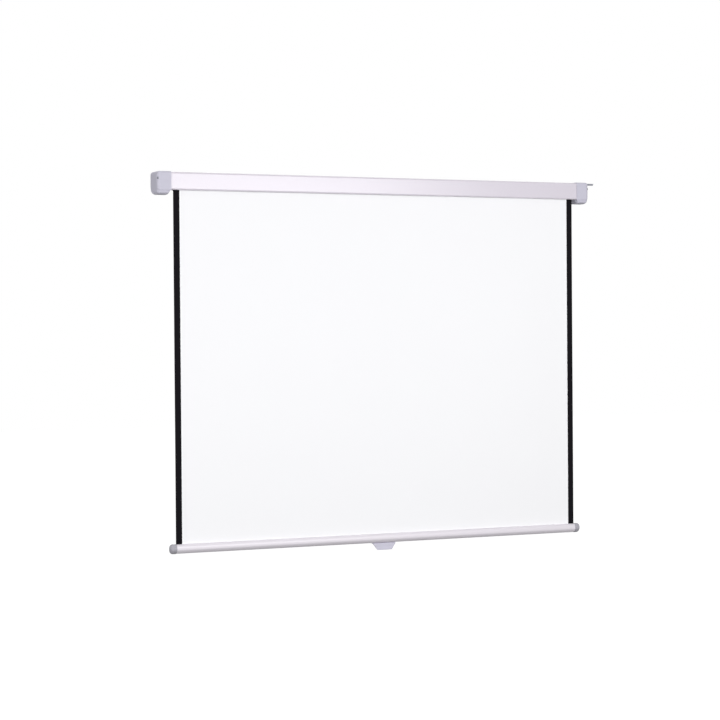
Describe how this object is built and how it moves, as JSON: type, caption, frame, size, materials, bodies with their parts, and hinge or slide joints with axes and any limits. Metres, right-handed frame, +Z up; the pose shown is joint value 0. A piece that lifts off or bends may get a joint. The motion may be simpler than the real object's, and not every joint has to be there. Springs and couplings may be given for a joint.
{
  "type": "pull-down projector screen",
  "caption": "Wall-mounted pull-down projector screen: long case with rounded end caps, spring roller, white fabric with dark side borders, bottom bar and pull handle.",
  "frame": {"origin": "on the wall plane at the middle of the case's back, half way along it and half way up it", "axes": "+X along the case to the viewer's right, +Y into the wall, +Z up"},
  "size_m": [1.982, 0.0775, 1.5178],
  "materials": {
    "white_powder_coat": "white powder coat on rolled steel",
    "grey_moulded_plastic": "light grey moulded plastic, satin",
    "dark_grey_moulded_plastic": "darker grey moulded plastic, satin",
    "zinc_plated_steel": "zinc plated",
    "spring_steel": "oiled spring steel",
    "galvanised_tube": "galvanised",
    "natural_nylon": "natural nylon",
    "black_nylon": "black nylon",
    "screen_fabric": "matt white front with a black border down each side, black back",
    "white_painted_aluminium": "white painted extrusion"
  },
  "bodies": {
    "case": {"case_shell": "white_powder_coat", "left_end_cap": "grey_moulded_plastic", "right_end_cap": "grey_moulded_plastic", "left_bracket": "zinc_plated_steel", "right_bracket": "zinc_plated_steel", "left_cap_screw": "zinc_plated_steel", "right_cap_screw": "zinc_plated_steel", "left_upper_rivet": "zinc_plated_steel", "left_lower_rivet": "zinc_plated_steel", "right_upper_rivet": "zinc_plated_steel", "right_lower_rivet": "zinc_plated_steel", "spindle": "zinc_plated_steel", "spindle_spacer": "natural_nylon", "spindle_clip": "spring_steel", "ratchet_wheel": "spring_steel", "spring_collar": "black_nylon", "torsion_spring": "spring_steel", "idle_pin": "zinc_plated_steel", "idle_pin_clip": "spring_steel", "screen_fabric": "screen_fabric"},
    "roller": {"roller_tube": "galvanised_tube", "fabric_key": "black_nylon", "wound_fabric": "screen_fabric", "left_hub": "black_nylon", "pawl_cover": "zinc_plated_steel", "pawl_pin_upper": "zinc_plated_steel", "pawl_pin_lower": "zinc_plated_steel", "steady_bush": "natural_nylon", "right_hub": "black_nylon", "right_bush": "natural_nylon"},
    "pawl_upper": {"pawl_upper": "spring_steel"},
    "pawl_lower": {"pawl_lower": "spring_steel"},
    "bottom_bar": {"slat_profile": "white_painted_aluminium", "hem_bead": "black_nylon", "slat_left_plug": "dark_grey_moulded_plastic", "slat_right_plug": "dark_grey_moulded_plastic", "pull_handle": "grey_moulded_plastic", "left_handle_screw": "zinc_plated_steel", "right_handle_screw": "zinc_plated_steel"}
  },
  "joints": [
    {"name": "bar_lift", "type": "slide", "parent": "case", "child": "bottom_bar", "axis": [0, 0, 1], "range_m": [0, 1.36], "deforming": ["screen_fabric"]},
    {"name": "roller_spin", "type": "hinge", "parent": "case", "child": "roller", "pos_m": [0, -0.0343, 0], "axis": [-1, 0, 0], "range_deg": [0, 3600.5]},
    {"name": "pawl_upper_swing", "type": "hinge", "parent": "roller", "child": "pawl_upper", "pos_m": [-0.91355, -0.04446, 0.0121], "axis": [1, 0, 0], "range_deg": [-12.8, 25.8]},
    {"name": "pawl_lower_swing", "type": "hinge", "parent": "roller", "child": "pawl_lower", "pos_m": [-0.91355, -0.02414, -0.0121], "axis": [1, 0, 0], "range_deg": [-12.8, 25.8]}
  ],
  "couplings": [
    {"joint": "roller_spin", "follows": "bar_lift", "rad_per_m": 46.2}
  ]
}
